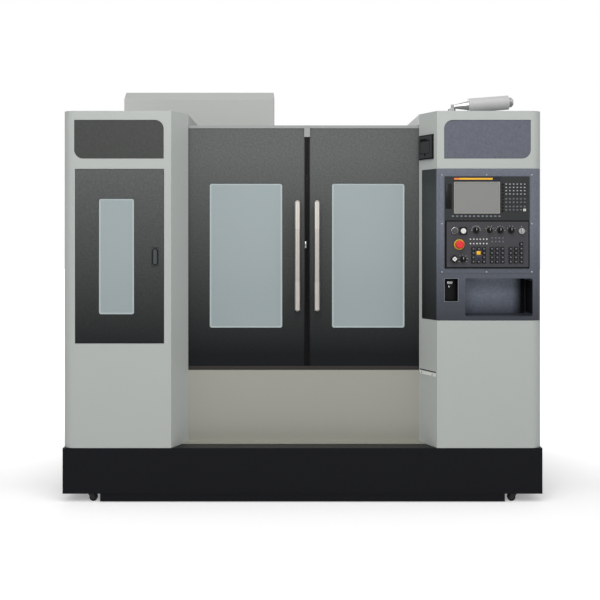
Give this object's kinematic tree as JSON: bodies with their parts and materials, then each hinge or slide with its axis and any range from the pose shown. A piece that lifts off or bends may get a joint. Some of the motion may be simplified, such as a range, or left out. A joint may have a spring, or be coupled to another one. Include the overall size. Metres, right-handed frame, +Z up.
{
  "type": "cnc machining center",
  "caption": "Enclosed vertical machining centre with sliding doors, operator panel, moving table, spindle head, tool changer, rear cabinet and roll-out coolant tank.",
  "frame": {"origin": "on the floor under the middle of the machine's bounding box", "axes": "+X to the operator's right, +Y towards the back of the machine, +Z up"},
  "size_m": [2.4, 2.341, 2.32],
  "materials": {
    "casting": "painted light grey",
    "machined": "ground steel",
    "table_iron": "machined cast iron",
    "light_sheet": "satin light grey paint",
    "dark_sheet": "textured dark grey paint",
    "housing_dark": "textured dark grey paint",
    "stainless": "brushed",
    "tank_paint": "satin black paint",
    "cabinet_paint": "satin light grey paint",
    "pane": "clear safety glass",
    "panel_plastic": "matt black",
    "keypad": "matt grey",
    "chrome_part": "polished",
    "lamp_plastic": "frosted",
    "red_plastic": "gloss",
    "white_plastic": "gloss",
    "black_plastic": "gloss",
    "bellows_cloth": "coated cloth",
    "wheel_rubber": "matt",
    "motor_black": "satin black paint",
    "flap_plastic": "matt grey"
  },
  "bodies": {
    "machine": {"bed_casting": "casting", "levelling_feet": "machined", "column_casting": "casting", "axis_drives": "machined", "splash_pan": "stainless", "left_tower": "light_sheet", "right_tower": "light_sheet", "header_plates": "dark_sheet", "operator_housing": "housing_dark", "apron_panel": "stainless", "back_wall": "light_sheet", "left_side_panel": "light_sheet", "right_side_panel": "light_sheet", "door_header": "light_sheet", "door_sill": "stainless", "electrical_cabinet": "cabinet_paint", "magazine_frame": "casting", "display_unit": "panel_plastic", "machine_panel": "panel_plastic", "lamp_base": "chrome_part", "flap_frame": "flap_plastic", "y_bellows": "bellows_cloth"},
    "left_door": {"left_door": "dark_sheet", "left_door_glass": "pane", "left_door_handle": "stainless"},
    "right_door": {"right_door": "dark_sheet", "right_door_glass": "pane", "right_door_handle": "stainless"},
    "tool_access_door": {"tool_access_door": "dark_sheet", "tool_access_window": "pane"},
    "paddle_latch": {"paddle_latch": "black_plastic"},
    "cabinet_door": {"cabinet_door": "cabinet_paint"},
    "flap_cover": {"flap_cover": "flap_plastic"},
    "signal_lamp": {"lamp_arm": "chrome_part", "lamp_tube": "lamp_plastic"},
    "estop_button": {"estop_button": "red_plastic"},
    "ring_button": {"ring_button": "black_plastic"},
    "white_button": {"white_button": "white_plastic"},
    "square_button": {"square_button": "white_plastic"},
    "selector_1": {"selector_1": "black_plastic"},
    "selector_2": {"selector_2": "black_plastic"},
    "selector_3": {"selector_3": "black_plastic"},
    "selector_4": {"selector_4": "black_plastic"},
    "lower_selector": {"lower_selector": "black_plastic"},
    "key_switch": {"key_switch": "chrome_part"},
    "saddle": {"saddle": "casting", "x_bellows_left": "bellows_cloth", "x_bellows_right": "bellows_cloth"},
    "table": {"table": "table_iron"},
    "spindle_head": {"spindle_head": "casting", "spindle_motor": "motor_black"},
    "spindle": {"spindle": "machined"},
    "tool_disc": {"tool_disc": "machined"},
    "change_arm": {"change_arm": "machined"},
    "coolant_tank": {"coolant_tank": "tank_paint"},
    "caster_fork_left": {"caster_fork_left": "machined"},
    "caster_wheel_left": {"caster_wheel_left": "wheel_rubber"},
    "caster_fork_right": {"caster_fork_right": "machined"},
    "caster_wheel_right": {"caster_wheel_right": "wheel_rubber"},
    "rear_wheelset": {"rear_wheelset": "machined"}
  },
  "joints": [
    {"name": "left_door_slide", "type": "slide", "parent": "machine", "child": "left_door", "axis": [1, 0, 0], "range_m": [-0.48, 0]},
    {"name": "right_door_slide", "type": "slide", "parent": "machine", "child": "right_door", "axis": [1, 0, 0], "range_m": [0, 0.48]},
    {"name": "tool_access_door_hinge", "type": "hinge", "parent": "machine", "child": "tool_access_door", "pos_m": [-1.137, -1.1295, 1.231], "axis": [0, 0, -1], "range_deg": [0, 110]},
    {"name": "paddle_latch_pivot", "type": "hinge", "parent": "tool_access_door", "child": "paddle_latch", "pos_m": [-0.7375, -1.1245, 1.266], "axis": [-1, 0, 0], "range_deg": [0, 30], "stiffness_Nm_per_rad": 0.5},
    {"name": "cabinet_door_hinge", "type": "hinge", "parent": "machine", "child": "cabinet_door", "pos_m": [-1.199, 1.1705, 1.296], "axis": [0, 0, 1], "range_deg": [0, 110]},
    {"name": "flap_cover_hinge", "type": "hinge", "parent": "machine", "child": "flap_cover", "pos_m": [0.62687, -1.04508, 1.839], "axis": [-0.4116, 0.9114, 0], "range_deg": [0, 90]},
    {"name": "lamp_fold", "type": "hinge", "parent": "machine", "child": "signal_lamp", "pos_m": [0.762, -1.0295, 1.99], "axis": [0, -1, 0], "range_deg": [0, 86]},
    {"name": "estop_press", "type": "slide", "parent": "machine", "child": "estop_button", "axis": [0, 1, 0], "range_m": [0, 0.005], "stiffness_N_per_m": 1500},
    {"name": "ring_button_press", "type": "slide", "parent": "machine", "child": "ring_button", "axis": [0, 1, 0], "range_m": [0, 0.004], "stiffness_N_per_m": 800},
    {"name": "white_button_press", "type": "slide", "parent": "machine", "child": "white_button", "axis": [0, 1, 0], "range_m": [0, 0.004], "stiffness_N_per_m": 800},
    {"name": "square_button_press", "type": "slide", "parent": "machine", "child": "square_button", "axis": [0, 1, 0], "range_m": [0, 0.004], "stiffness_N_per_m": 800},
    {"name": "selector_1_turn", "type": "hinge", "parent": "machine", "child": "selector_1", "pos_m": [0.8665, -1.1345, 1.36], "axis": [0, -1, 0], "range_deg": [-150, 150]},
    {"name": "selector_2_turn", "type": "hinge", "parent": "machine", "child": "selector_2", "pos_m": [0.9345, -1.1345, 1.36], "axis": [0, -1, 0], "range_deg": [-60, 60]},
    {"name": "selector_3_turn", "type": "hinge", "parent": "machine", "child": "selector_3", "pos_m": [0.9875, -1.1345, 1.36], "axis": [0, -1, 0], "range_deg": [-90, 90]},
    {"name": "selector_4_turn", "type": "hinge", "parent": "machine", "child": "selector_4", "pos_m": [1.042, -1.1345, 1.36], "axis": [0, -1, 0], "range_deg": [-60, 60]},
    {"name": "lower_selector_turn", "type": "hinge", "parent": "machine", "child": "lower_selector", "pos_m": [0.801, -1.1345, 1.216], "axis": [0, -1, 0], "range_deg": [-150, 150]},
    {"name": "key_switch_turn", "type": "hinge", "parent": "machine", "child": "key_switch", "pos_m": [1.0935, -1.1345, 1.357], "axis": [0, -1, 0], "range_deg": [-90, 0]},
    {"name": "y_axis", "type": "slide", "parent": "machine", "child": "saddle", "axis": [0, 1, 0], "range_m": [-0.25, 0.25], "deforming": ["y_bellows"]},
    {"name": "x_axis", "type": "slide", "parent": "saddle", "child": "table", "axis": [1, 0, 0], "range_m": [-0.4, 0.4], "deforming": ["x_bellows_left", "x_bellows_right"]},
    {"name": "z_axis", "type": "slide", "parent": "machine", "child": "spindle_head", "axis": [0, 0, 1], "range_m": [-0.32, 0.18]},
    {"name": "spindle_turn", "type": "hinge", "parent": "spindle_head", "child": "spindle", "pos_m": [0, -0.3745, 1.4], "axis": [0, 0, 1], "continuous": true},
    {"name": "tool_disc_index", "type": "hinge", "parent": "machine", "child": "tool_disc", "pos_m": [-0.7, -0.3745, 1.62], "axis": [1, 0, 0], "continuous": true},
    {"name": "change_arm_swing", "type": "hinge", "parent": "machine", "child": "change_arm", "pos_m": [-0.38, -0.3745, 1.3], "axis": [0, 0, 1], "range_deg": [0, 180]},
    {"name": "coolant_tank_pull", "type": "slide", "parent": "machine", "child": "coolant_tank", "axis": [0, -1, 0], "range_m": [0, 0.5]},
    {"name": "caster_swivel_left", "type": "hinge", "parent": "coolant_tank", "child": "caster_fork_left", "pos_m": [-1.063, -1.0935, 0.042], "axis": [0, 0, 1], "continuous": true},
    {"name": "caster_roll_left", "type": "hinge", "parent": "caster_fork_left", "child": "caster_wheel_left", "pos_m": [-1.051, -1.0935, 0.02], "axis": [0, 1, 0], "continuous": true},
    {"name": "caster_swivel_right", "type": "hinge", "parent": "coolant_tank", "child": "caster_fork_right", "pos_m": [1.063, -1.0935, 0.042], "axis": [0, 0, 1], "continuous": true},
    {"name": "caster_roll_right", "type": "hinge", "parent": "caster_fork_right", "child": "caster_wheel_right", "pos_m": [1.051, -1.0935, 0.02], "axis": [0, 1, 0], "continuous": true},
    {"name": "rear_wheels_roll", "type": "hinge", "parent": "coolant_tank", "child": "rear_wheelset", "pos_m": [0, -0.7575, 0.02], "axis": [1, 0, 0], "continuous": true}
  ]
}
